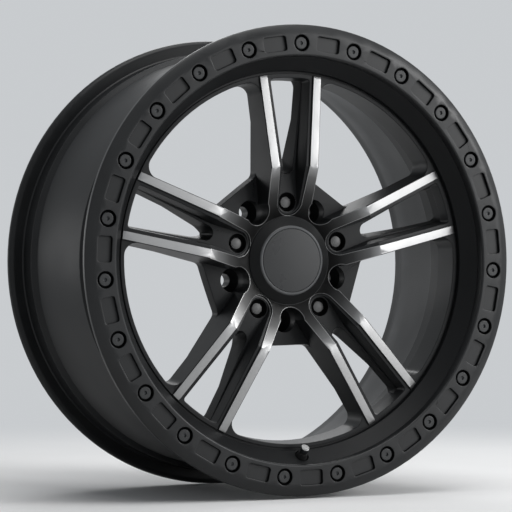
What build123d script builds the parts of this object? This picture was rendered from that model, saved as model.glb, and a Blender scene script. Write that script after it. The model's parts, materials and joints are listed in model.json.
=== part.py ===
"""Beadlock wheel for a truck: a cast wheel with five split spokes, its bolted front ring, cap and valve.

The wheel spins about Y. Its front faces -Y, Z is up, and the origin is the centre of the mounting face.
All sizes are millimetres. A set-back is a depth behind the front land, where the ring is bolted on.
"""

import os
from math import atan2, cos, hypot, radians, sin, sqrt, tan

from build123d import *

# Rim: a 20 by 9 inch barrel, whose front bead is clamped by the ring
rim_width = 228.6
wheel_offset = 25.0
bead_seat_radius = 256.4
bead_seat_width = 19.0
bead_taper = 5.0
hump_height = 1.4
hump_width = 6.0
well_depth = 30.4
well_width = 36.0
well_slope_length = 21.0
barrel_wall = 7.0
barrel_step_length = 10.0
barrel_step_height = 12.0
barrel_rear_drop = 6.0
barrel_rear_length = 13.0
flange_height = 17.3
flange_width = 11.0
flange_roll = 6.5
flange_bevel = 3.0
edge_break = 1.5

# Front lip between the ring and the spokes
lip_bevel = 1.5
lip_width = 15.0
lip_step_depth = 3.0
lip_groove_width = 2.5
lip_groove_depth = 2.5
lip_ledge = 6.5

# Spokes: five pairs of arms, each arm with a raised ridge and a lower ledge beside it
wheel_turn = 1.4
spoke_count = 5
hub_land_setback = 34.0
bend_setback = 11.0
ridge_end_drop = 1.0
ridge_end_bevel = 4.0
ridge_end_fall = 1.2
bend_along = 107.6
bend_offset = 24.5
bend_ridge_width = 11.5
end_offset = 34.5
end_ridge_width = 9.5
ledge_width = 3.5
ledge_drop = 2.0
pocket_draft = 8.0
pocket_corner = 5.0
pocket_floor_setback = 35.0
slot_start = 101.0
slot_root_radius = 9.0
slot_end_half_width = 23.3
window_draft = 4.0
window_corner = 15.0
hub_chord = 96.0
hub_corner = 12.0
back_inner = 24.0
back_middle = 39.0
back_middle_radius = 166.0
back_outer = 37.0

# Hub
hub_bore_radius = 43.55
hub_bore_depth = 25.0
mounting_pad_radius = 84.0
mounting_pad_height = 5.0
lug_circle = 139.7
lug_hole_radius = 7.75
lug_well_radius = 14.0
lug_seat_angle = 60.0
lug_seat_thickness = 17.0
lug_pad_setback = 49.0
relief_radius = 11.0
relief_depth = 16.0
hub_land_radius = 52.0

# Beadlock ring and its bolts
ring_overhang = 14.6
ring_width = 36.5
ring_thickness = 13.0
ring_bevel_width = 10.0
ring_bevel_depth = 5.0
ring_edge_height = 6.0
ring_heel = 3.0
ring_bolt_count = 23
insert_wall = 2.4
insert_radius = 5.0
insert_length = 10.0
bolt_well_radius = 9.6
bolt_well_depth = 6.5
bolt_shank_radius = 3.9
bolt_shank_length = 16.0
bolt_clearance = 0.4
bolt_head_radius = 7.2
bolt_head_height = 5.0
bolt_head_bevel = 0.7
bolt_socket_flats = 4.0
bolt_socket_depth = 2.0
ring_pocket_width = 29.0
ring_pocket_height = 17.0
ring_pocket_depth = 3.5
ring_pocket_corner = 3.0

# Spoke studs, one in the root of each pair of arms
stud_circle_radius = 68.0
stud_well_radius = 11.0
stud_well_depth = 9.0
stud_root_radius = 13.5
stud_head_radius = 6.3
stud_head_height = 5.0
stud_dome = 1.5
stud_shank_radius = 4.0
stud_shank_length = 12.0

# Centre cap, held in the hub by catches on its legs and a spring ring behind them
cap_bore_radius = 39.5
cap_base_margin = 1.0
cap_height = 8.8
cap_top_radius = 40.6
cap_rim_bevel = 1.0
cap_foot = 1.2
cap_plate_radius = 36.6
cap_plate_gap = 0.6
cap_plate_thickness = 1.4
cap_plate_dome = 0.7
cap_wall = 3.0
cap_leg_wall = 2.9
cap_leg_length = 16.5
cap_leg_count = 6
cap_leg_slot = 14.0
cap_catch = 1.1
cap_catch_depth = 10.0
cap_fit = 0.4
clip_wire = 2.4
clip_gap_angle = 20.0

# Tyre valve, square to the lip's cone
valve_rise = 6.0
valve_sink = 5.0
valve_sink_radius = 8.0
valve_web = 4.0
valve_hole_radius = 5.65
valve_back_radius = 9.6
valve_reach = 30.0
rubber_shoulder_radius = 7.2
rubber_shoulder_height = 1.5
rubber_top_radius = 5.1
rubber_height = 11.0
rubber_base_radius = 9.3
rubber_base_height = 5.0
stem_radius = 3.9
stem_root_radius = 3.4
stem_height = 17.5
stem_bore_radius = 2.6
core_length = 6.0
core_recess = 2.0
core_bore_radius = 1.0
pin_radius = 0.7
pin_recess = 0.5
pin_travel = 1.2
poppet_radius = 1.7
poppet_height = 1.2
spring_wire = 0.6
spring_radius = 1.75
spring_turns = 4
spring_height = 4.8
valve_cap_wall = 0.95
valve_cap_lift = 0.6
valve_cap_bevel = 0.8
seal_thickness = 0.8
seal_hole_radius = 1.4
press_gap = 0.06
running_gap = 0.15

# Places along the spin axis
land_y = wheel_offset - rim_width / 2
rear_face_y = land_y + rim_width
hub_land_y = land_y + hub_land_setback
bend_y = land_y + bend_setback
pocket_floor_y = land_y + pocket_floor_setback
lug_pad_y = land_y + lug_pad_setback
ring_front_y = land_y - ring_thickness
lip_front_y = land_y + lip_bevel
lip_step_y = lip_front_y + lip_width
lip_groove_y = lip_step_y + lip_step_depth + lip_groove_depth
ridge_end_y = lip_step_y + ridge_end_drop
cut_y = bend_y - edge_break

# Places across it
flange_radius = bead_seat_radius + flange_height
well_radius = bead_seat_radius - well_depth
ring_outer_radius = bead_seat_radius + ring_overhang
ring_inner_radius = ring_outer_radius - ring_width
lip_step_radius = ring_inner_radius - lip_width
lip_groove_radius = lip_step_radius - lip_groove_width
ridge_end_radius = lip_groove_radius - ridge_end_bevel
bend_radius = hypot(bend_along, bend_offset)
end_along = sqrt(lip_step_radius**2 - end_offset**2)
window_radius = lip_step_radius - lip_ledge
bolt_circle_radius = bead_seat_radius - insert_radius - insert_wall
first_spoke_angle = 90.0 + wheel_turn
first_window_angle = first_spoke_angle + 180.0 / spoke_count
first_pocket_angle = first_spoke_angle + 180.0 / ring_bolt_count


def face_plane(y):
    """A plane square to the spin axis, seen from the front with X to the right and Z up."""
    return Plane(origin=(0, y, 0), x_dir=(1, 0, 0), z_dir=(0, -1, 0))


def section_plane(plane):
    """The plane through another plane's normal, with that normal as its second axis."""
    return Plane(origin=plane.origin, x_dir=plane.x_dir, z_dir=-plane.y_dir)


def normal_axis(plane):
    """The axis along a plane's normal."""
    return Axis(plane.origin, plane.z_dir)


def to_window(along, offset):
    """A point given from a spoke pair's middle line, as seen from the next window's middle line."""
    radius = hypot(along, offset)
    angle = radians(180.0 / spoke_count) - atan2(offset, along)
    return radius * cos(angle), radius * sin(angle)


def reach(start, end, along):
    """The point of a straight line at a given distance along the middle line."""
    share = (along - start[0]) / (end[0] - start[0])
    return along, start[1] + share * (end[1] - start[1])


def mirrored(points):
    """One side of an outline followed by its mirror image across the middle line."""
    return points + [(along, -offset) for along, offset in reversed(points)]


def land_depth(radius):
    """How far the hub's sloping land lies behind the plane on which the openings are drawn."""
    share = (radius - hub_land_radius) / (bend_radius - hub_land_radius)
    return hub_land_y + share * (bend_y - hub_land_y) - cut_y


def sloped(depth, draft):
    """How far a drafted wall moves sideways over a depth."""
    return depth * tan(radians(draft))


# Outlines of the openings, each drawn along +X on the plane just in front of the ridges
end_depth = ridge_end_y - cut_y
ridge_root = stud_root_radius + ledge_drop
ridge_bend = (bend_along, bend_offset - bend_ridge_width / 2)
ridge_end = (end_along, end_offset - end_ridge_width / 2)
ridge_side = [
    (stud_circle_radius, ridge_root),
    ridge_bend,
    reach(ridge_bend, ridge_end, lip_step_radius),
]
pocket_root = stud_root_radius + sloped(land_depth(stud_circle_radius), pocket_draft)
pocket_side = [
    (stud_circle_radius, pocket_root),
    (bend_along, bend_offset - bend_ridge_width / 2 - ledge_width),
    (end_along, end_offset - end_ridge_width / 2 - ledge_width + sloped(end_depth, pocket_draft)),
]
slot_side = [
    (slot_start + slot_root_radius, slot_root_radius),
    (window_radius, slot_end_half_width),
]
window_root = lug_well_radius + sloped(lug_pad_y - cut_y, window_draft)
window_bend = to_window(bend_along, bend_offset + bend_ridge_width / 2)
window_end = to_window(
    end_along, end_offset + end_ridge_width / 2 + sloped(end_depth, window_draft)
)
window_side = [
    (lug_circle / 2, window_root),
    window_bend,
    reach(window_bend, window_end, window_radius),
]
window_rim_side = [window_bend, reach(window_bend, window_end, lip_step_radius + lip_ledge)]
lug_side = window_side[:2] + [reach(window_bend, window_end, window_bend[0] + hub_corner)]

with BuildSketch() as ridge_outline:
    with BuildLine():
        Polyline(mirrored(ridge_side), close=True)
    make_face()
    with Locations((stud_circle_radius, 0)):
        Circle(ridge_root)

with BuildSketch() as pocket_outline:
    with BuildLine():
        Polyline(mirrored(pocket_side), close=True)
    make_face()
    with Locations((stud_circle_radius, 0)):
        Circle(pocket_root)
    Circle(window_radius, mode=Mode.INTERSECT)
    fillet(pocket_outline.vertices().group_by(Axis.X)[-1], radius=pocket_corner)

with BuildSketch() as slot_outline:
    with BuildLine():
        Polyline(mirrored(slot_side), close=True)
    make_face()
    with Locations((slot_start + slot_root_radius, 0)):
        Circle(slot_root_radius)
    Circle(window_radius, mode=Mode.INTERSECT)
    fillet(slot_outline.vertices().group_by(Axis.X)[-1], radius=pocket_corner)

with BuildSketch() as window_outline:
    with BuildLine():
        Polyline(mirrored(window_side), close=True)
    make_face()
    Circle(window_radius, mode=Mode.INTERSECT)
    fillet(window_outline.vertices().group_by(Axis.X)[-1], radius=window_corner)
    with Locations((hub_chord, 0)):
        Rectangle(
            window_radius, 2 * window_radius, align=(Align.MAX, Align.CENTER), mode=Mode.SUBTRACT
        )
    fillet(window_outline.vertices().group_by(Axis.X)[0], radius=hub_corner)

with BuildSketch() as window_rim_outline:
    with BuildLine():
        Polyline(mirrored(window_rim_side), close=True)
    make_face()

with BuildSketch() as lug_outline:
    with BuildLine():
        Polyline(mirrored(lug_side), close=True)
    make_face()
    with Locations((lug_circle / 2, 0)):
        Circle(window_root)

# The ledge beside each ridge and outside each window, a set drop below the front
with BuildPart() as ledge_cut:
    with BuildSketch(face_plane(cut_y)):
        with PolarLocations(0, spoke_count, start_angle=first_spoke_angle):
            add(ridge_outline.sketch)
    extrude(amount=cut_y - lug_pad_y)
    with BuildSketch(face_plane(cut_y)):
        with PolarLocations(0, spoke_count, start_angle=first_window_angle):
            add(window_rim_outline.sketch)
    extrude(amount=cut_y - lug_pad_y, taper=window_draft)
    with BuildSketch(Plane.XY):
        with BuildLine():
            Polyline(
                (hub_land_radius, cut_y - edge_break),
                (hub_land_radius, hub_land_y + ledge_drop),
                (bend_radius, bend_y + ledge_drop),
                (ridge_end_radius, ridge_end_y + ledge_drop),
                (lip_step_radius, ridge_end_y + ledge_drop),
                (lip_step_radius, cut_y - edge_break),
                close=True,
            )
        make_face()
    revolve(axis=Axis.Y, mode=Mode.INTERSECT)

# Valve axis: it leaves the lip's cone squarely, inward and to the front
valve_angle = radians(first_window_angle + 2 * 360.0 / spoke_count)
valve_lip_radius = lip_step_radius + valve_rise
valve_lip_y = lip_step_y - valve_rise
valve_out = Vector(-cos(valve_angle), -1, -sin(valve_angle)).normalized()
valve_lip_point = Vector(
    valve_lip_radius * cos(valve_angle), valve_lip_y, valve_lip_radius * sin(valve_angle)
)
valve_plane = Plane(
    origin=valve_lip_point - valve_out * valve_sink,
    x_dir=(-sin(valve_angle), 0, cos(valve_angle)),
    z_dir=valve_out,
)
valve_section = section_plane(valve_plane)
valve_axis = normal_axis(valve_plane)

# Wheel casting: the barrel, then the hub and spokes cut from a disc
seat_low_radius = bead_seat_radius - sloped(bead_seat_width, bead_taper)
front_hump_y = land_y + bead_seat_width + hump_width / 2
well_front_y = land_y + bead_seat_width + hump_width + well_slope_length
well_rear_y = well_front_y + well_width
step_rear_y = well_rear_y + barrel_step_length
rear_seat_y = rear_face_y - bead_seat_width
barrel_rear_y = rear_seat_y - barrel_rear_length
rear_y = rear_face_y + flange_width
step_radius = well_radius + barrel_step_height
barrel_rear_radius = bead_seat_radius - barrel_rear_drop
rim_root_radius = well_radius - barrel_wall / 2
cap_catch_y = hub_land_y + cap_catch_depth
cap_catch_room = cap_bore_radius + cap_catch + cap_fit
lug_seat_y = -lug_seat_thickness - (lug_well_radius - lug_hole_radius) / tan(
    radians(lug_seat_angle / 2)
)

with BuildPart() as wheel:
    with BuildSketch(Plane.XY):
        with BuildLine():
            outside = Polyline(
                (ring_inner_radius + lip_bevel, land_y),
                (bead_seat_radius - edge_break, land_y),
                (bead_seat_radius, land_y + edge_break),
                (seat_low_radius, land_y + bead_seat_width),
                (seat_low_radius + hump_height, front_hump_y),
                (seat_low_radius, front_hump_y + hump_width / 2),
                (well_radius, well_front_y),
                (well_radius, well_rear_y),
                (step_radius, step_rear_y),
                (barrel_rear_radius, barrel_rear_y),
                (seat_low_radius + hump_height, rear_seat_y - hump_width),
                (seat_low_radius, rear_seat_y),
                (bead_seat_radius, rear_face_y - edge_break),
                (bead_seat_radius + edge_break, rear_face_y),
                (flange_radius - flange_roll, rear_face_y),
            )
            roll = RadiusArc(outside @ 1, (flange_radius, rear_face_y + flange_roll), -flange_roll)
            Polyline(
                roll @ 1,
                (flange_radius, rear_face_y + flange_roll + edge_break),
                (flange_radius - flange_bevel, rear_y),
                (bead_seat_radius + flange_bevel, rear_y),
                (bead_seat_radius - barrel_wall, rear_face_y + edge_break),
                (seat_low_radius - barrel_wall, rear_seat_y),
                (barrel_rear_radius - barrel_wall, barrel_rear_y),
                (step_radius - barrel_wall, step_rear_y + barrel_wall / 2),
                (well_radius - barrel_wall, well_rear_y + barrel_wall / 2),
                (well_radius - barrel_wall, lip_groove_y + lip_ledge),
                (lip_groove_radius - edge_break, lip_groove_y + edge_break),
                (lip_groove_radius - edge_break, lip_groove_y),
                (lip_step_radius, lip_groove_y),
                (lip_step_radius, lip_step_y),
                (ring_inner_radius, lip_front_y),
                outside @ 0,
            )
        make_face()
    revolve(axis=Axis.Y)

    with BuildSketch(Plane.XY):
        with BuildLine():
            Polyline(
                (cap_bore_radius, hub_land_y),
                (hub_land_radius, hub_land_y),
                (bend_radius, bend_y),
                (ridge_end_radius, ridge_end_y),
                (lip_groove_radius, ridge_end_y + ridge_end_fall),
                (lip_groove_radius, lip_groove_y + edge_break / 2),
                (rim_root_radius, lip_groove_y + lip_ledge),
                (rim_root_radius, edge_break - back_outer),
                (window_radius, -back_outer),
                (back_middle_radius, -back_middle),
                (hub_chord, -back_inner),
                (mounting_pad_radius + edge_break, -mounting_pad_height),
                (mounting_pad_radius, 0),
                (hub_bore_radius + edge_break, 0),
                (hub_bore_radius, -edge_break),
                (hub_bore_radius, -hub_bore_depth),
                (cap_catch_room, -hub_bore_depth),
                (cap_catch_room, cap_catch_y),
                (cap_bore_radius, cap_catch_y - cap_catch - cap_fit),
                close=True,
            )
        make_face()
    revolve(axis=Axis.Y)

    add(ledge_cut.part, mode=Mode.SUBTRACT)
    with BuildSketch(face_plane(cut_y)):
        with PolarLocations(0, spoke_count, start_angle=first_spoke_angle):
            add(pocket_outline.sketch)
    extrude(amount=cut_y - pocket_floor_y, taper=pocket_draft, mode=Mode.SUBTRACT)
    with BuildSketch(face_plane(pocket_floor_y)):
        with PolarLocations(0, spoke_count, start_angle=first_spoke_angle):
            add(slot_outline.sketch)
    extrude(amount=pocket_floor_y, taper=pocket_draft, mode=Mode.SUBTRACT)
    with BuildSketch(face_plane(cut_y)):
        with PolarLocations(0, spoke_count, start_angle=first_window_angle):
            add(lug_outline.sketch)
    extrude(amount=cut_y - lug_pad_y, taper=window_draft, mode=Mode.SUBTRACT)
    with BuildSketch(face_plane(cut_y)):
        with PolarLocations(0, spoke_count, start_angle=first_window_angle):
            add(window_outline.sketch)
    extrude(amount=cut_y, taper=window_draft, mode=Mode.SUBTRACT)

    with Locations(face_plane(lug_seat_y).location):
        with PolarLocations(lug_circle / 2, spoke_count, start_angle=first_window_angle):
            CounterSinkHole(lug_hole_radius, lug_well_radius, counter_sink_angle=lug_seat_angle)
    with Locations(face_plane(pocket_floor_y).location):
        with PolarLocations(stud_circle_radius, spoke_count, start_angle=first_spoke_angle):
            CounterBoreHole(
                stud_shank_radius + press_gap,
                stud_well_radius,
                stud_well_depth,
                depth=stud_well_depth + stud_shank_length + edge_break,
            )
    with BuildSketch(face_plane(0)):
        with PolarLocations(lug_circle / 2, spoke_count, start_angle=first_spoke_angle):
            Circle(relief_radius)
    extrude(amount=relief_depth, mode=Mode.SUBTRACT)
    with BuildSketch(face_plane(land_y)):
        with PolarLocations(bolt_circle_radius, ring_bolt_count, start_angle=first_spoke_angle):
            Circle(insert_radius + press_gap)
    extrude(amount=-insert_length - edge_break, mode=Mode.SUBTRACT)

    with BuildSketch(valve_plane):
        Circle(valve_sink_radius)
    extrude(amount=valve_reach, mode=Mode.SUBTRACT)
    with BuildSketch(valve_plane):
        Circle(valve_hole_radius)
    extrude(amount=-valve_web, mode=Mode.SUBTRACT)
    with BuildSketch(valve_plane.offset(-valve_web)):
        Circle(valve_back_radius)
    extrude(amount=-valve_reach, mode=Mode.SUBTRACT)
wheel.part.label = "wheel"

# Beadlock ring, with a well for each bolt and a shallow pocket between the wells
with BuildSketch() as ring_pocket_outline:
    with Locations((bolt_circle_radius, 0)):
        Rectangle(ring_pocket_height, ring_pocket_width)
    fillet(ring_pocket_outline.vertices(), radius=ring_pocket_corner)

ring_edge_y = ring_front_y + ring_bevel_depth
with BuildPart() as beadlock_ring:
    with BuildSketch(Plane.XY):
        with BuildLine():
            Polyline(
                (ring_inner_radius, land_y),
                (ring_inner_radius, ring_front_y + edge_break),
                (ring_inner_radius + edge_break, ring_front_y),
                (ring_outer_radius - ring_bevel_width, ring_front_y),
                (ring_outer_radius - edge_break, ring_edge_y - edge_break / 2),
                (ring_outer_radius, ring_edge_y + edge_break / 2),
                (ring_outer_radius, ring_edge_y + ring_edge_height),
                (ring_outer_radius - ring_heel, land_y),
                close=True,
            )
        make_face()
    revolve(axis=Axis.Y)
    with Locations(face_plane(ring_front_y).location):
        with PolarLocations(bolt_circle_radius, ring_bolt_count, start_angle=first_spoke_angle):
            CounterBoreHole(bolt_shank_radius + bolt_clearance, bolt_well_radius, bolt_well_depth)
    with BuildSketch(face_plane(ring_front_y)):
        with PolarLocations(0, ring_bolt_count, start_angle=first_pocket_angle):
            add(ring_pocket_outline.sketch)
    extrude(amount=-ring_pocket_depth, mode=Mode.SUBTRACT)
beadlock_ring.part.label = "beadlock_ring"

# Ring bolts: low socket heads, sunk in their wells
bolt_seat_y = ring_front_y + bolt_well_depth
with BuildPart() as ring_bolts:
    with BuildSketch(face_plane(bolt_seat_y)):
        with PolarLocations(bolt_circle_radius, ring_bolt_count, start_angle=first_spoke_angle):
            Circle(bolt_head_radius)
    extrude(amount=bolt_head_height)
    chamfer(ring_bolts.faces().filter_by(Axis.Y).group_by(Axis.Y)[0].edges(), bolt_head_bevel)
    with BuildSketch(face_plane(bolt_seat_y)):
        with PolarLocations(bolt_circle_radius, ring_bolt_count, start_angle=first_spoke_angle):
            Circle(bolt_shank_radius)
    extrude(amount=-bolt_shank_length)
    with BuildSketch(face_plane(bolt_seat_y - bolt_head_height)):
        with PolarLocations(bolt_circle_radius, ring_bolt_count, start_angle=first_spoke_angle):
            RegularPolygon(bolt_socket_flats / 2, 6, major_radius=False)
    extrude(amount=-bolt_socket_depth, mode=Mode.SUBTRACT)
ring_bolts.part.label = "ring_bolts"

# Thread inserts in the casting, one for each ring bolt
with BuildPart() as thread_inserts:
    with BuildSketch(face_plane(land_y)):
        with PolarLocations(bolt_circle_radius, ring_bolt_count, start_angle=first_spoke_angle):
            Circle(insert_radius)
            Circle(bolt_shank_radius + press_gap, mode=Mode.SUBTRACT)
    extrude(amount=-insert_length)
thread_inserts.part.label = "thread_inserts"

# Spoke studs, with domed heads
with BuildPart() as spoke_studs:
    for place in PolarLocations(stud_circle_radius, spoke_count, start_angle=first_spoke_angle):
        stud_plane = Plane(face_plane(pocket_floor_y + stud_well_depth).location * place)
        with BuildSketch(section_plane(stud_plane)):
            with BuildLine():
                side = Polyline(
                    (0, -stud_shank_length),
                    (stud_shank_radius, -stud_shank_length),
                    (stud_shank_radius, 0),
                    (stud_head_radius, 0),
                    (stud_head_radius, stud_head_height),
                )
                stud_top = stud_head_height + stud_dome
                crown = Bezier(side @ 1, (stud_head_radius / 2, stud_top), (0, stud_top))
                Line(crown @ 1, side @ 0)
            make_face()
        revolve(axis=normal_axis(stud_plane))
spoke_studs.part.label = "spoke_studs"

# Centre cap: a shell with a conical skirt and slotted legs
cap_top_y = hub_land_y - cap_height
plate_floor_y = cap_top_y + cap_plate_thickness
cap_ceiling_y = plate_floor_y + cap_wall
cap_base_radius = hub_land_radius - cap_base_margin
leg_radius = cap_bore_radius - cap_fit
leg_inner_radius = leg_radius - cap_leg_wall
leg_end_y = hub_land_y + cap_leg_length
clip_y = cap_catch_y + cap_catch
hook_y = clip_y + clip_wire / 2 + press_gap
hook_inner_radius = leg_inner_radius - clip_wire / 2
with BuildPart() as center_cap:
    with BuildSketch(Plane.XY):
        with BuildLine():
            Polyline(
                (0, plate_floor_y),
                (cap_plate_radius + cap_plate_gap, plate_floor_y),
                (cap_plate_radius + cap_plate_gap, cap_top_y),
                (cap_top_radius - cap_rim_bevel, cap_top_y),
                (cap_top_radius, cap_top_y + cap_rim_bevel),
                (cap_base_radius, hub_land_y - cap_foot),
                (cap_base_radius, hub_land_y),
                (cap_base_radius - cap_wall, hub_land_y),
                (cap_top_radius - cap_rim_bevel, cap_ceiling_y),
                (leg_radius, cap_ceiling_y),
                (leg_radius, cap_catch_y),
                (leg_radius + cap_catch, clip_y),
                (leg_radius, leg_end_y),
                (hook_inner_radius, leg_end_y),
                (hook_inner_radius, hook_y),
                (leg_inner_radius, hook_y),
                (leg_inner_radius, cap_ceiling_y),
                (0, cap_ceiling_y),
                close=True,
            )
        make_face()
    revolve(axis=Axis.Y)
    with BuildSketch(face_plane(hub_land_y)):
        with PolarLocations(leg_radius, cap_leg_count, start_angle=first_spoke_angle):
            Rectangle(2 * (leg_radius - hook_inner_radius + edge_break), cap_leg_slot)
    extrude(amount=-cap_leg_length - edge_break, mode=Mode.SUBTRACT)
center_cap.part.label = "center_cap"

# Cap plate, slightly domed, in its recess
with BuildPart() as cap_plate:
    with BuildSketch(Plane.XY):
        with BuildLine():
            side = Polyline(
                (0, plate_floor_y), (cap_plate_radius, plate_floor_y), (cap_plate_radius, cap_top_y)
            )
            dome_y = cap_top_y - cap_plate_dome
            crown = Bezier(side @ 1, (cap_plate_radius / 2, dome_y), (0, dome_y))
            Line(crown @ 1, side @ 0)
        make_face()
    revolve(axis=Axis.Y)
cap_plate.part.label = "cap_plate"

# Spring ring of square wire that spreads the cap's legs
with BuildPart() as cap_clip:
    with BuildSketch(Plane.XY):
        with Locations((leg_inner_radius - clip_wire / 2 - press_gap, clip_y)):
            Rectangle(clip_wire, clip_wire)
    revolve(axis=Axis.Y, revolution_arc=360.0 - clip_gap_angle)
cap_clip.part.label = "cap_clip"

# Valve rubber, snapped through its hole
valve_foot = -valve_web - rubber_base_height
with BuildPart() as valve_rubber:
    with BuildSketch(valve_section):
        with BuildLine():
            Polyline(
                (stem_root_radius + press_gap, valve_foot),
                (rubber_base_radius - edge_break, valve_foot),
                (rubber_base_radius, valve_foot + edge_break),
                (rubber_base_radius, -valve_web),
                (valve_hole_radius - press_gap, -valve_web),
                (valve_hole_radius - press_gap, 0),
                (rubber_shoulder_radius, 0),
                (rubber_shoulder_radius, rubber_shoulder_height),
                (rubber_top_radius, rubber_height),
                (stem_root_radius + press_gap, rubber_height),
                close=True,
            )
        make_face()
    revolve(axis=valve_axis)
valve_rubber.part.label = "valve_rubber"

# Valve stem, with a ledge in its bore for the spring
core_top = stem_height - core_recess
core_foot = core_top - core_length
poppet_top = core_foot - press_gap
poppet_foot = poppet_top - poppet_height
spring_top = poppet_foot - pin_travel - running_gap
spring_foot = spring_top - spring_height
with BuildPart() as valve_stem:
    with BuildSketch(valve_section):
        with BuildLine():
            Polyline(
                (core_bore_radius, valve_foot),
                (stem_root_radius, valve_foot),
                (stem_root_radius, rubber_height),
                (stem_radius, rubber_height),
                (stem_radius, stem_height),
                (stem_bore_radius, stem_height),
                (stem_bore_radius, spring_foot),
                (core_bore_radius, spring_foot),
                close=True,
            )
        make_face()
    revolve(axis=valve_axis)
valve_stem.part.label = "valve_stem"

# Valve core, its sprung pin and the spring, drawn at the length it has with the pin pressed
with BuildPart() as valve_core:
    with BuildSketch(valve_plane.offset(core_foot)):
        Circle(stem_bore_radius - press_gap)
        Circle(core_bore_radius, mode=Mode.SUBTRACT)
    extrude(amount=core_length)
valve_core.part.label = "valve_core"

with BuildPart() as valve_pin:
    with BuildSketch(valve_plane.offset(poppet_foot)):
        Circle(poppet_radius)
    extrude(amount=poppet_height)
    with BuildSketch(valve_plane.offset(poppet_foot)):
        Circle(pin_radius)
    extrude(amount=stem_height - pin_recess - poppet_foot)
valve_pin.part.label = "valve_pin"

spring_rise = spring_height - spring_wire
with BuildPart() as valve_spring:
    with BuildLine():
        coil = Helix(
            spring_rise / spring_turns,
            spring_rise,
            spring_radius,
            center=valve_plane.offset(spring_foot + spring_wire / 2).origin,
            direction=valve_out,
        )
    with BuildSketch(Plane(coil @ 0, x_dir=valve_out, z_dir=coil % 0)):
        Rectangle(spring_wire, spring_wire)
    sweep(is_frenet=True)
valve_spring.part.label = "valve_spring"

# Valve cap and the seal inside it
seal_foot = stem_height + press_gap
cap_ceiling = seal_foot + seal_thickness
valve_cap_inner = stem_radius + running_gap
valve_cap_radius = valve_cap_inner + valve_cap_wall
valve_cap_foot = rubber_height + valve_cap_lift
with BuildPart() as valve_cap:
    with BuildSketch(valve_section):
        with BuildLine():
            Polyline(
                (0, cap_ceiling),
                (valve_cap_inner, cap_ceiling),
                (valve_cap_inner, valve_cap_foot),
                (valve_cap_radius, valve_cap_foot),
                (valve_cap_radius, cap_ceiling + valve_cap_wall - valve_cap_bevel),
                (valve_cap_radius - valve_cap_bevel, cap_ceiling + valve_cap_wall),
                (0, cap_ceiling + valve_cap_wall),
                close=True,
            )
        make_face()
    revolve(axis=valve_axis)
valve_cap.part.label = "valve_cap"

with BuildPart() as valve_cap_seal:
    with BuildSketch(valve_plane.offset(seal_foot)):
        Circle(valve_cap_inner - press_gap)
        Circle(seal_hole_radius, mode=Mode.SUBTRACT)
    extrude(amount=seal_thickness)
valve_cap_seal.part.label = "valve_cap_seal"

# One file for each piece
pieces = [
    wheel,
    beadlock_ring,
    ring_bolts,
    thread_inserts,
    spoke_studs,
    center_cap,
    cap_plate,
    cap_clip,
    valve_rubber,
    valve_stem,
    valve_core,
    valve_pin,
    valve_spring,
    valve_cap,
    valve_cap_seal,
]
os.makedirs("parts", exist_ok=True)
for piece in pieces:
    export_step(piece.part, f"parts/{piece.part.label}.step")
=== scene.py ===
"""Looks for the beadlock wheel: satin black paint, turned ridges, rounded edges and studio light."""

import json
import math

import bmesh
import bpy
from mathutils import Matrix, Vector

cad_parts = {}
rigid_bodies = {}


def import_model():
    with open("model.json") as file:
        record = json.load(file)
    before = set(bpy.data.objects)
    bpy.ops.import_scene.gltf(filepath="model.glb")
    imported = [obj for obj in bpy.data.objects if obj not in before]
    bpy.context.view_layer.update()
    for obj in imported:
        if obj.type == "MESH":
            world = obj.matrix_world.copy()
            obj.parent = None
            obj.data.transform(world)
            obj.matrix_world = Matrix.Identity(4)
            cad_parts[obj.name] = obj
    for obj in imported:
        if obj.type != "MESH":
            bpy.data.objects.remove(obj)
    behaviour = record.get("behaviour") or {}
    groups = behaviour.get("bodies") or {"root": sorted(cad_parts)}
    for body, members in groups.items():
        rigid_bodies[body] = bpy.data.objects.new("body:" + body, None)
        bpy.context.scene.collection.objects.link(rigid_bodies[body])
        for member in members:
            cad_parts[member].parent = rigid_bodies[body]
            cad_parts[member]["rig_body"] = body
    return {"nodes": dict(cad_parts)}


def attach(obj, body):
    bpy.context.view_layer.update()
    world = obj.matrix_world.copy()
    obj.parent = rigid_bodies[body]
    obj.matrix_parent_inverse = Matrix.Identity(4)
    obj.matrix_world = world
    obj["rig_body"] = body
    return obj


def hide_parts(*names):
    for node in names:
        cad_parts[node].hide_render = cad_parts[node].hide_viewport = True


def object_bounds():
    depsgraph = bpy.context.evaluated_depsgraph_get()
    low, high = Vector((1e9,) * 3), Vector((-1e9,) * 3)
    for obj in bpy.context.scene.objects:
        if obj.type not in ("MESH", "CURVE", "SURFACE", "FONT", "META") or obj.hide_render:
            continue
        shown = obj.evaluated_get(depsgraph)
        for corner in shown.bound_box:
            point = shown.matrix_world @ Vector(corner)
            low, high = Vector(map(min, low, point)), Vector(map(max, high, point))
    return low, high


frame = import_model()
cad_low, cad_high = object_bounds()
nodes = frame["nodes"]
MM = 0.001

# Camera: where the photograph was taken from, and where the ring's centre lies in its frame
IMAGE_SIZE = 512
VIEW_AZIMUTH = -26.7
VIEW_ELEVATION = -0.64
VIEW_DISTANCE = 2.749
FOCAL_PIXELS = 2394
SENSOR_WIDTH = 36.0
CLIP_END = 100.0
RING_PLANE_Y = -97.3 * MM
RING_CENTRE_PIXEL = (304.8, 260.1)

# The wheel's materials, in the order of its slots
CAST, TURNED, TURNED_EDGE, PAINTED_SHADE, LIP = range(5)

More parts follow.
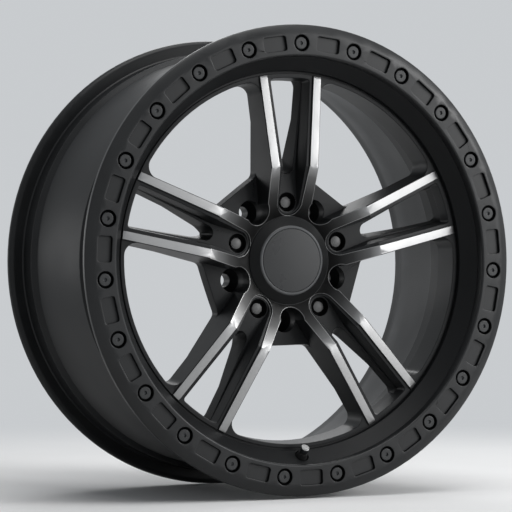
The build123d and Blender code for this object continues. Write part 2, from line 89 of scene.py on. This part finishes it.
# The turned faces of the spokes: (radius, y) along the hub's land and two cones that meet at the bend
HUB_LAND = (52.0 * MM, -55.3 * MM)
RIDGE_BEND = (110.35 * MM, -78.3 * MM)
RIDGE_END = (213.0 * MM, -71.8 * MM)
LIP_GROOVE = (217.0 * MM, -70.6 * MM)
TURNED_LINE = (HUB_LAND, RIDGE_BEND, RIDGE_END, LIP_GROOVE)
FRONT_DEPTH = 0.85 * MM
FACE_LEAN = 10.0
EDGE_LEAN = 86.0

# Painted shade on the turned faces: their tone at each distance from the spin axis, darkest towards
# the hub
TURNED_SHADE_TONES = [
    (52.0 * MM, 0.006),
    (62.0 * MM, 0.014),
    (80.0 * MM, 0.045),
    (98.0 * MM, 0.13),
    (108.0 * MM, 0.3),
    (111.0 * MM, 0.43),
    (150.0 * MM, 0.38),
    (217.0 * MM, 0.33),
]
# Edge strips of the turned faces: lighter than the faces as a painted highlight, darker towards the
# hub as painted shade
EDGE_HIGHLIGHT_AND_SHADE = [
    (52.0 * MM, 0.12),
    (80.0 * MM, 0.2),
    (111.0 * MM, 0.36),
]

# The lip between the ring and the spokes, which takes a darker copy of the casting paint as painted
# shade
LIP_INNER = 216.0 * MM
LIP_OUTER = 236.5 * MM
LIP_REAR = -66.0 * MM
LIP_LEAN = 0.2

# The roll of the rear flange, which stays smooth
ROLL_INNER = 266.5 * MM
ROLL_REAR = 146.5 * MM

# Ring bolts, the ring's cavities and the spoke studs
FIRST_SPOKE = math.radians(91.4)
BOLT_COUNT = 23
BOLT_CIRCLE = 249.0 * MM
BOLT_TOP = -100.8 * MM
SOCKET_RADIUS = 2.7 * MM
SOCKET_DEPTH = 2.0 * MM
RING_FRONT = -102.3 * MM
WELL_FLOOR = -95.8 * MM
POCKET_INNER = 238.5 * MM
POCKET_OUTER = 260.0 * MM
WALL_LEAN = 0.35
STUD_COUNT = 5
STUD_CIRCLE = 68.0 * MM
STUD_WELL = 11.3 * MM
STUD_FLOOR = -54.1 * MM
SLACK = 0.25 * MM

# Centre cap, its plate, and the valve cap
CAP_RIM = -62.9 * MM
PLATE_RADIUS = 36.6 * MM
PLATE_FRONT = -64.1 * MM
PLATE_BACK = -62.7 * MM
PLATE_DOME = 0.7 * MM
PLATE_STEPS = 16
PLATE_SEGMENTS = 96
VALVE_OUT = Vector((-0.017276, -0.707107, 0.706896))

# Edge rounding: how the mesh is cleaned, which edges count as sharp, and each piece's width
WELD = 0.002 * MM
THIN = 0.05 * MM
FLAT_ANGLE = math.radians(0.02)
EDGE_ANGLE = math.radians(28.0)
BEVEL_SEGMENTS = 2
BEVEL_PROFILE = 0.5
SHADOW_OFFSET = 0.2
WHEEL_EDGE = 0.8 * MM
RING_EDGE = 0.7 * MM
BOLT_EDGE = 0.35 * MM
CAP_EDGE = 0.35 * MM
RUBBER_EDGE = 0.4 * MM
VALVE_CAP_EDGE = 0.25 * MM

# Grain of the finishes: noise in cycles per metre, and bumps as (strength, depth)
NOISE_DETAIL = 4.0
FINE_DETAIL = 2.0
RAMP_PLACES = (0.3, 0.7)
PAINT_PATCHES = 14.0
PAINT_GRAIN = 900.0
PAINT_BUMP = (0.08, 0.05 * MM)
COOL_TINT = (1.0, 1.06, 1.13)
TURNED_RINGS = 2600.0
TURNED_CONTRAST = (0.92, 1.0)
TURNED_ANISOTROPY = 0.5
METAL_PATCHES = 220.0
MOULDED_PATCHES = 60.0
MOULDED_SKIN = 2500.0
MOULDED_BUMP = (0.1, 0.03 * MM)

# Floor, background and the world's light
FLOOR_RADIUS = 6.0
FLOOR_SEGMENTS = 96
FLOOR_PATCHES = 3.0
FLOOR_TONE = (0.74, 0.78)
FLOOR_ROUGHNESS = 0.9
BACKGROUND = (0.58, 0.6, 0.62, 1.0)
FADE_START = 0.5
FADE_END = 1.5
WORLD_LIGHT = (0.9, 0.95, 1.0, 1.0)
WORLD_STRENGTH = 0.2

# Sockets that share a name with others on their node, by place: colour mixes and shader mixes
COLOUR_FIRST, COLOUR_SECOND, COLOUR_RESULT = 6, 7, 2
SHADER_FIRST, SHADER_SECOND = 1, 2


# Which material a face takes
def near_axis(polygon, circle, count, reach):
    """True within a reach of one of the axes that stand evenly on a circle from the first spoke on."""
    step = 2 * math.pi / count
    turn = math.atan2(polygon.center.z, polygon.center.x) - FIRST_SPOKE
    nearest = FIRST_SPOKE + round(turn / step) * step
    axis = circle * Vector((math.cos(nearest), math.sin(nearest)))
    return (Vector((polygon.center.x, polygon.center.z)) - axis).length < reach


def wheel_finish(polygon):
    """The slot of a face of the wheel: stud well and lip, which take painted shade, turned front, its
    edge, or plain casting.
    """
    # Stud wells take near-black paint: painted shade in the wells
    if polygon.center.y > STUD_FLOOR and near_axis(polygon, STUD_CIRCLE, STUD_COUNT, STUD_WELL):
        return PAINTED_SHADE
    radius = math.hypot(polygon.center.x, polygon.center.z)
    inward = Vector((-polygon.center.x, 0, -polygon.center.z)).normalized()
    if LIP_INNER < radius < LIP_OUTER and polygon.center.y < LIP_REAR:
        if polygon.normal.dot(inward) > LIP_LEAN:
            return LIP
    for start, end in zip(TURNED_LINE, TURNED_LINE[1:]):
        if start[0] <= radius <= end[0]:
            across, along = end[0] - start[0], end[1] - start[1]
            depth = polygon.center.y - start[1] - (radius - start[0]) * along / across
            facing = (-inward * along + Vector((0, -across, 0))).normalized()
            lean = math.degrees(polygon.normal.angle(facing, math.pi))
            if abs(depth) > FRONT_DEPTH or lean > EDGE_LEAN:
                return CAST
            if lean < FACE_LEAN:
                return TURNED
            return TURNED_EDGE if radius < RIDGE_BEND[0] else CAST
    return CAST


def in_socket(polygon):
    """True for a face of a ring bolt that lies in its socket, which takes lighter paint as painted
    light against the socket's shade.
    """
    if not BOLT_TOP + SLACK < polygon.center.y < BOLT_TOP + SOCKET_DEPTH + SLACK:
        return False
    return near_axis(polygon, BOLT_CIRCLE, BOLT_COUNT, SOCKET_RADIUS)


def in_ring_cavity(polygon):
    """True for a wall of the ring's pockets and for the wall and floor of its bolt wells, which take
    near-black paint as painted shade.
    """
    radius = math.hypot(polygon.center.x, polygon.center.z)
    if not POCKET_INNER < radius < POCKET_OUTER or polygon.center.y < RING_FRONT + SLACK:
        return False
    if polygon.center.y > WELL_FLOOR + SLACK:
        return False
    return polygon.center.y > WELL_FLOOR - SLACK or abs(polygon.normal.y) < WALL_LEAN


def on_cap_rim(polygon):
    """True for a face of the centre cap's front rim, which takes a lighter paint as painted highlight.
    """
    return polygon.center.y < CAP_RIM


def on_valve_cap_end(polygon):
    """True for a face of the valve cap that looks outward along the valve, which takes light metal as
    painted highlight.
    """
    return polygon.normal.dot(VALVE_OUT) > WALL_LEAN


# Shapes
def new_object(name, data):
    """A new object, linked to the scene."""
    made = bpy.data.objects.new(name, data)
    bpy.context.scene.collection.objects.link(made)
    return made


def stand_for(piece, name):
    """Let a piece ride with a CAD node's body in place of that node."""
    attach(piece, nodes[name]["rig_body"])
    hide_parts(name)
    return piece


def turned_piece(name, profile, segments):
    """A clean body of revolution about the spin axis, which stands for a CAD node."""
    points = []
    rings = []
    for radius, y in profile:
        count = segments if radius > 0 else 1
        rings.append([len(points) + step for step in range(count)])
        for step in range(count):
            turn = 2 * math.pi * step / segments
            points.append((radius * math.cos(turn), y, radius * math.sin(turn)))
    faces = []
    for near, far in zip(rings, rings[1:]):
        for step in range(segments):
            after = (step + 1) % segments
            corners = (
                far[step % len(far)],
                far[after % len(far)],
                near[after % len(near)],
                near[step % len(near)],
            )
            faces.append(tuple(dict.fromkeys(corners)))
    mesh = bpy.data.meshes.new(f"{name}_turned")
    mesh.from_pydata(points, [], faces)
    mesh.shade_smooth()
    mesh.set_sharp_from_angle(angle=EDGE_ANGLE)
    return stand_for(new_object(f"{name}_turned", mesh), name)


def plate_profile(steps):
    """The cap plate's section from the middle of its dome to the middle of its back."""
    profile = []
    for step in range(steps + 1):
        share = 1 - step / steps
        radius = PLATE_RADIUS * (1 - share) ** 2 + PLATE_RADIUS * share * (1 - share)
        profile.append((radius, PLATE_FRONT - PLATE_DOME * (2 * share * (1 - share) + share**2)))
    return profile + [(PLATE_RADIUS, PLATE_BACK), (0, PLATE_BACK)]


def on_flange_roll(edge):
    """True where both ends of an edge lie on the rear flange's roll."""
    ends = [vert.co for vert in edge.verts]
    return all(math.hypot(co.x, co.z) > ROLL_INNER and 0 < co.y < ROLL_REAR for co in ends)


def to_round(edge):
    """True for an outward corner between two faces that isn't on the rear flange's roll."""
    if not (edge.is_manifold and edge.is_convex and edge.calc_face_angle() > EDGE_ANGLE):
        return False
    return not on_flange_roll(edge)


def rounded(name, width):
    """A copy of a CAD node with its edges rounded, which stands for that node."""
    mesh = nodes[name].data.copy()
    mesh.name = f"{name}_rounded"
    work = bmesh.new()
    work.from_mesh(mesh)
    bmesh.ops.remove_doubles(work, verts=work.verts, dist=WELD)
    bmesh.ops.dissolve_limit(work, angle_limit=FLAT_ANGLE, verts=work.verts, edges=work.edges)
    bmesh.ops.dissolve_degenerate(work, dist=THIN, edges=work.edges)
    bmesh.ops.bevel(
        work,
        geom=[edge for edge in work.edges if to_round(edge)],
        offset=width,
        offset_type="OFFSET",
        segments=BEVEL_SEGMENTS,
        profile=BEVEL_PROFILE,
        affect="EDGES",
        clamp_overlap=False,
        loop_slide=True,
    )
    work.normal_update()
    for face in work.faces:
        face.smooth = True
    for edge in work.edges:
        edge.smooth = edge.calc_face_angle(0) < EDGE_ANGLE or on_flange_roll(edge)
    work.to_mesh(mesh)
    work.free()
    piece = new_object(f"{name}_rounded", mesh)
    weighted = piece.modifiers.new("flat faces", "WEIGHTED_NORMAL")
    weighted.keep_sharp = True
    piece.cycles.shadow_terminator_geometry_offset = SHADOW_OFFSET
    return stand_for(piece, name)


# Material nodes
def new_material(name):
    """An empty node material, its tree and its surface shader."""
    material = bpy.data.materials.new(name)
    material.use_nodes = True
    tree = material.node_tree
    shader = tree.nodes["Principled BSDF"]
    return material, tree, shader


def object_noise(tree, scale, detail=NOISE_DETAIL):
    """Noise in object space; scale is in cycles per metre."""
    place = tree.nodes.new("ShaderNodeTexCoord")
    noise = tree.nodes.new("ShaderNodeTexNoise")
    noise.inputs["Scale"].default_value = scale
    noise.inputs["Detail"].default_value = detail
    tree.links.new(place.outputs["Object"], noise.inputs["Vector"])
    return noise.outputs["Fac"]


def cool(grey):
    """A grey with a slight cool tint."""
    return tuple(tint * grey for tint in COOL_TINT)


def as_colour(value):
    """A colour with its alpha, from a grey or a colour."""
    return (*value, 1.0) if isinstance(value, tuple) else (value, value, value, 1.0)


def ramp(tree, source, ends):
    """A colour ramp between two greys or colours."""
    node = tree.nodes.new("ShaderNodeValToRGB")
    for element, place, value in zip(node.color_ramp.elements, RAMP_PLACES, ends):
        element.position = place
        element.color = as_colour(value)
    tree.links.new(source, node.inputs["Fac"])
    return node.outputs["Color"]


def spin_radius(tree):
    """The distance from the spin axis, in metres."""
    place = tree.nodes.new("ShaderNodeTexCoord")
    parts = tree.nodes.new("ShaderNodeSeparateXYZ")
    flat = tree.nodes.new("ShaderNodeCombineXYZ")
    radius = tree.nodes.new("ShaderNodeVectorMath")
    radius.operation = "LENGTH"
    tree.links.new(place.outputs["Object"], parts.inputs["Vector"])
    tree.links.new(parts.outputs["X"], flat.inputs["X"])
    tree.links.new(parts.outputs["Z"], flat.inputs["Z"])
    tree.links.new(flat.outputs["Vector"], radius.inputs[0])
    return radius.outputs["Value"]


def radial_tone(tree, radius, stops):
    """A colour that follows the distance from the spin axis through stops of (radius, tone)."""
    first, last = stops[0][0], stops[-1][0]
    share = tree.nodes.new("ShaderNodeMapRange")
    share.inputs["From Min"].default_value = first
    share.inputs["From Max"].default_value = last
    tree.links.new(radius, share.inputs["Value"])
    node = tree.nodes.new("ShaderNodeValToRGB")
    elements = node.color_ramp.elements
    for place, tone in stops[1:-1]:
        elements.new((place - first) / (last - first)).color = as_colour(tone)
    elements[0].color = as_colour(stops[0][1])
    elements[len(elements) - 1].color = as_colour(stops[-1][1])
    tree.links.new(share.outputs["Result"], node.inputs["Fac"])
    return node.outputs["Color"]


def add_bump(tree, shader, height, bump):
    """Bump the shader's normal by a height; bump is (strength, depth)."""
    node = tree.nodes.new("ShaderNodeBump")
    node.inputs["Strength"].default_value = bump[0]
    node.inputs["Distance"].default_value = bump[1]
    tree.links.new(height, node.inputs["Height"])
    tree.links.new(node.outputs["Normal"], shader.inputs["Normal"])


def mix_shaders(tree, share, first, second, output):
    """Send a mix of two shaders to the surface of the output node with that name."""
    mix = tree.nodes.new("ShaderNodeMixShader")
    tree.links.new(share, mix.inputs["Fac"])
    tree.links.new(first, mix.inputs[SHADER_FIRST])
    tree.links.new(second, mix.inputs[SHADER_SECOND])
    tree.links.new(mix.outputs["Shader"], tree.nodes[output].inputs["Surface"])


# Finishes: tone and roughness are each the two ends of a range
def satin_paint(name, tone, roughness, gloss):
    """Satin powder coat: near-black with a fine grain and patches of slightly different gloss."""
    material, tree, shader = new_material(name)
    patches = object_noise(tree, PAINT_PATCHES)
    grain = object_noise(tree, PAINT_GRAIN, FINE_DETAIL)
    colours = [cool(grey) for grey in tone]
    tree.links.new(ramp(tree, patches, colours), shader.inputs["Base Color"])
    tree.links.new(ramp(tree, patches, roughness), shader.inputs["Roughness"])
    add_bump(tree, shader, grain, PAINT_BUMP)
    shader.inputs["Specular IOR Level"].default_value = gloss
    return material


def turned_metal(name, stops, roughness):
    """Turned aluminium with painted shade that darkens its tone towards the hub, and fine rings round
    the axis.
    """
    material, tree, shader = new_material(name)
    radius = spin_radius(tree)
    rings = tree.nodes.new("ShaderNodeTexNoise")
    rings.noise_dimensions = "1D"
    rings.inputs["Scale"].default_value = TURNED_RINGS
    rings.inputs["Detail"].default_value = FINE_DETAIL
    tree.links.new(radius, rings.inputs["W"])
    mix = tree.nodes.new("ShaderNodeMix")
    mix.data_type = "RGBA"
    mix.blend_type = "MULTIPLY"
    mix.inputs["Factor"].default_value = 1.0
    tree.links.new(radial_tone(tree, radius, stops), mix.inputs[COLOUR_FIRST])
    tree.links.new(ramp(tree, rings.outputs["Fac"], TURNED_CONTRAST), mix.inputs[COLOUR_SECOND])
    tree.links.new(mix.outputs[COLOUR_RESULT], shader.inputs["Base Color"])
    tree.links.new(ramp(tree, rings.outputs["Fac"], roughness), shader.inputs["Roughness"])
    tangent = tree.nodes.new("ShaderNodeTangent")
    tangent.direction_type = "RADIAL"
    tangent.axis = "Y"
    tree.links.new(tangent.outputs["Tangent"], shader.inputs["Tangent"])
    shader.inputs["Metallic"].default_value = 1.0
    shader.inputs["Anisotropic"].default_value = TURNED_ANISOTROPY
    return material


def plain_metal(name, tone, roughness):
    """Metal with a slight change of tone and gloss across it."""
    material, tree, shader = new_material(name)
    patches = object_noise(tree, METAL_PATCHES)
    tree.links.new(ramp(tree, patches, tone), shader.inputs["Base Color"])
    tree.links.new(ramp(tree, patches, roughness), shader.inputs["Roughness"])
    shader.inputs["Metallic"].default_value = 1.0
    return material


def moulded(name, tone, roughness):
    """Moulded rubber or plastic with a fine skin; its roughness is one number."""
    material, tree, shader = new_material(name)
    patches = object_noise(tree, MOULDED_PATCHES)
    skin = object_noise(tree, MOULDED_SKIN, FINE_DETAIL)
    tree.links.new(ramp(tree, patches, tone), shader.inputs["Base Color"])
    shader.inputs["Roughness"].default_value = roughness
    add_bump(tree, shader, skin, MOULDED_BUMP)
    return material


def paint(piece, *materials):
    """Give a piece its materials in place of the ones it came with."""
    piece.data.materials.clear()
    for material in materials:
        piece.data.materials.append(material)


def paint_faces(piece, slot_of):
    """Give each face of a piece the material slot that a rule says."""
    for polygon in piece.data.polygons:
        polygon.material_index = int(slot_of(polygon))


# Floor and background: far from the wheel the floor fades into the tone that the world shows
def seen_directly(tree):
    """1 for what the camera sees, also in a reflection or through glass, and 0 for light."""
    path = tree.nodes.new("ShaderNodeLightPath")
    total = path.outputs["Is Camera Ray"]
    for kind in ("Is Glossy Ray", "Is Transmission Ray"):
        either = tree.nodes.new("ShaderNodeMath")
        either.operation = "MAXIMUM"
        tree.links.new(total, either.inputs[0])
        tree.links.new(path.outputs[kind], either.inputs[1])
        total = either.outputs["Value"]
    return total


def floor_disc():
    """A round floor under the wheel."""
    turns = [2 * math.pi * step / FLOOR_SEGMENTS for step in range(FLOOR_SEGMENTS)]
    points = [(FLOOR_RADIUS * math.cos(turn), FLOOR_RADIUS * math.sin(turn), 0) for turn in turns]
    mesh = bpy.data.meshes.new("floor")
    mesh.from_pydata(points, [], [list(range(FLOOR_SEGMENTS))])
    disc = new_object("floor", mesh)
    disc.location.z = cad_low.z
    return disc


def floor_paint():
    """Plain pale paper, with the background's own tone in the distance."""
    material, tree, shader = new_material("pale_paper")
    patches = object_noise(tree, FLOOR_PATCHES)
    tree.links.new(ramp(tree, patches, FLOOR_TONE), shader.inputs["Base Color"])
    shader.inputs["Roughness"].default_value = FLOOR_ROUGHNESS
    place = tree.nodes.new("ShaderNodeTexCoord")
    distance = tree.nodes.new("ShaderNodeVectorMath")
    distance.operation = "LENGTH"
    fade = tree.nodes.new("ShaderNodeMapRange")
    fade.interpolation_type = "SMOOTHSTEP"
    fade.inputs["From Min"].default_value = FADE_START
    fade.inputs["From Max"].default_value = FADE_END
    share = tree.nodes.new("ShaderNodeMath")
    share.operation = "MULTIPLY"
    far = tree.nodes.new("ShaderNodeEmission")
    far.inputs["Color"].default_value = BACKGROUND
    tree.links.new(place.outputs["Object"], distance.inputs[0])
    tree.links.new(distance.outputs["Value"], fade.inputs["Value"])
    tree.links.new(fade.outputs["Result"], share.inputs[0])
    tree.links.new(seen_directly(tree), share.inputs[1])
    near, beyond = shader.outputs["BSDF"], far.outputs["Emission"]
    mix_shaders(tree, share.outputs["Value"], near, beyond, "Material Output")
    return material


def studio_world():
    """A world that lights softly and shows the plain background."""
    world = bpy.data.worlds.new("studio")
    bpy.context.scene.world = world
    world.use_nodes = True
    tree = world.node_tree
    glow = tree.nodes["Background"]
    glow.inputs["Color"].default_value = WORLD_LIGHT
    glow.inputs["Strength"].default_value = WORLD_STRENGTH
    shown = tree.nodes.new("ShaderNodeBackground")
    shown.inputs["Color"].default_value = BACKGROUND
    light, backdrop = glow.outputs["Background"], shown.outputs["Background"]
    mix_shaders(tree, seen_directly(tree), light, backdrop, "World Output")


# Lamps and camera
def towards(azimuth, elevation):
    """The direction from the wheel, where azimuth 0 is its front and 90 its +X side."""
    turn, rise = math.radians(azimuth), math.radians(elevation)
    return Vector(
        (math.sin(turn) * math.cos(rise), -math.cos(turn) * math.cos(rise), math.sin(rise))
    )


def softbox(name, azimuth, elevation, distance, size, power):
    """A rectangular area lamp that looks at the wheel; size is its width and height."""
    back = towards(azimuth, elevation)
    data = bpy.data.lights.new(name, "AREA")
    data.shape = "RECTANGLE"
    data.size, data.size_y = size
    data.energy = power
    lamp = new_object(name, data)
    lamp.location = back * distance
    lamp.rotation_euler = back.to_track_quat("Z", "Y").to_euler()


def photo_camera():
    """The camera, turned so that the ring's centre falls on its pixel of the photograph."""
    back = towards(VIEW_AZIMUTH, VIEW_ELEVATION)
    aside = math.atan2(RING_CENTRE_PIXEL[0] - IMAGE_SIZE / 2, FOCAL_PIXELS)
    above = math.atan2(IMAGE_SIZE / 2 - RING_CENTRE_PIXEL[1], FOCAL_PIXELS)
    upright = Vector((0, 0, 1))
    forward = -back
    right = forward.cross(upright).normalized()
    forward = math.cos(aside) * forward - math.sin(aside) * right
    right = forward.cross(upright).normalized()
    up = right.cross(forward)
    forward = math.cos(above) * forward - math.sin(above) * up
    data = bpy.data.cameras.new("photo_camera")
    data.sensor_width = SENSOR_WIDTH
    data.lens = FOCAL_PIXELS / IMAGE_SIZE * SENSOR_WIDTH
    data.clip_end = CLIP_END
    camera = new_object("photo_camera", data)
    camera.location = Vector((0, RING_PLANE_Y, 0)) + back * VIEW_DISTANCE
    camera.rotation_euler = forward.to_track_quat("-Z", "Y").to_euler()
    bpy.context.scene.camera = camera


# Materials
casting_paint = satin_paint("casting_paint", tone=(0.008, 0.012), roughness=(0.36, 0.44), gloss=0.22)
ring_paint = satin_paint("ring_paint", tone=(0.008, 0.012), roughness=(0.34, 0.42), gloss=0.34)
bolt_paint = satin_paint("bolt_paint", tone=(0.014, 0.02), roughness=(0.36, 0.44), gloss=0.4)
# Lighter paint in the bolts' sockets: painted light that evens out the shade in them
socket_painted_light = satin_paint("socket_painted_light", tone=(0.05, 0.06), roughness=(0.4, 0.5), gloss=0.4)
turned = turned_metal("turned_ridges", TURNED_SHADE_TONES, roughness=(0.36, 0.44))
turned_edge = turned_metal("turned_edges", EDGE_HIGHLIGHT_AND_SHADE, roughness=(0.34, 0.42))
# A darker, less glossy copy of the casting paint: painted shade on the lip
lip_shade_paint = satin_paint("lip_shade_paint", tone=(0.006, 0.009), roughness=(0.4, 0.48), gloss=0.14)
# Near-black paint: painted shade in the stud wells and in the ring's pockets and bolt wells
painted_shade_paint = satin_paint("painted_shade_paint", tone=(0.002, 0.003), roughness=(0.6, 0.7), gloss=0.1)
stud_skin = moulded("stud_skin", tone=(0.1, 0.13), roughness=0.55)
bright_metal = plain_metal("bright_metal", tone=(0.6, 0.72), roughness=(0.2, 0.3))
# Light metal on the valve cap's outward end: painted highlight
valve_cap_highlight_metal = plain_metal("valve_cap_highlight_metal", tone=(0.26, 0.34), roughness=(0.34, 0.42))
brass_tones = ((0.5, 0.36, 0.16), (0.62, 0.46, 0.22))
brass_metal = plain_metal("brass_metal", tone=brass_tones, roughness=(0.28, 0.4))
# The centre cap in two copies of one paint: darker on its body as painted shade, lighter on its rim as
# painted highlight
cap_shade_skin = satin_paint("cap_shade_skin", tone=(0.004, 0.006), roughness=(0.46, 0.54), gloss=0.16)
rim_highlight_skin = satin_paint("rim_highlight_skin", tone=(0.03, 0.04), roughness=(0.34, 0.4), gloss=0.5)
plate_skin = satin_paint("plate_skin", tone=(0.014, 0.018), roughness=(0.26, 0.32), gloss=0.4)
rubber_skin = moulded("rubber_skin", tone=(0.004, 0.007), roughness=0.6)

# Pieces with rounded edges, and the turned cap plate
wheel = rounded("wheel", WHEEL_EDGE)
paint(wheel, casting_paint, turned, turned_edge, painted_shade_paint, lip_shade_paint)
paint_faces(wheel, wheel_finish)
ring = rounded("beadlock_ring", RING_EDGE)
# The ring's pocket walls and bolt wells take near-black paint as painted shade
paint(ring, ring_paint, painted_shade_paint)
paint_faces(ring, in_ring_cavity)
bolts = rounded("ring_bolts", BOLT_EDGE)
paint(bolts, bolt_paint, socket_painted_light)
paint_faces(bolts, in_socket)
cap = rounded("center_cap", CAP_EDGE)
paint(cap, cap_shade_skin, rim_highlight_skin)
paint_faces(cap, on_cap_rim)
plate = turned_piece("cap_plate", plate_profile(PLATE_STEPS), PLATE_SEGMENTS)
paint(plate, plate_skin)
rubber = rounded("valve_rubber", RUBBER_EDGE)
paint(rubber, rubber_skin)
valve_cap = rounded("valve_cap", VALVE_CAP_EDGE)
# The valve cap: dark paint on its sides as painted shade, light metal on its outward end as painted
# highlight
paint(valve_cap, bolt_paint, valve_cap_highlight_metal)
paint_faces(valve_cap, on_valve_cap_end)

# CAD nodes that stay as they are
for name, material in (
    ("thread_inserts", bright_metal),
    ("spoke_studs", stud_skin),
    ("cap_clip", bright_metal),
    ("valve_stem", brass_metal),
    ("valve_core", brass_metal),
    ("valve_pin", brass_metal),
    ("valve_spring", bright_metal),
    ("valve_cap_seal", rubber_skin),
):
    paint(nodes[name], material)

# Studio
paint(floor_disc(), floor_paint())
studio_world()
softbox("front", azimuth=37.0, elevation=7.0, distance=3.2, size=(1.3, 1.3), power=14.0)
softbox("right", azimuth=50.0, elevation=22.0, distance=2.8, size=(1.12, 1.12), power=42.0)
softbox("left", azimuth=-152.0, elevation=4.0, distance=2.6, size=(1.2, 0.6), power=3.2)
softbox("rear", azimuth=155.0, elevation=38.0, distance=2.8, size=(1.4, 1.4), power=18.0)
softbox("side", azimuth=112.0, elevation=14.0, distance=2.5, size=(0.8, 0.8), power=6.0)
softbox("top", azimuth=10.0, elevation=78.0, distance=2.8, size=(2.0, 2.0), power=48.0)
photo_camera()
bpy.context.scene.view_settings.view_transform = "Standard"
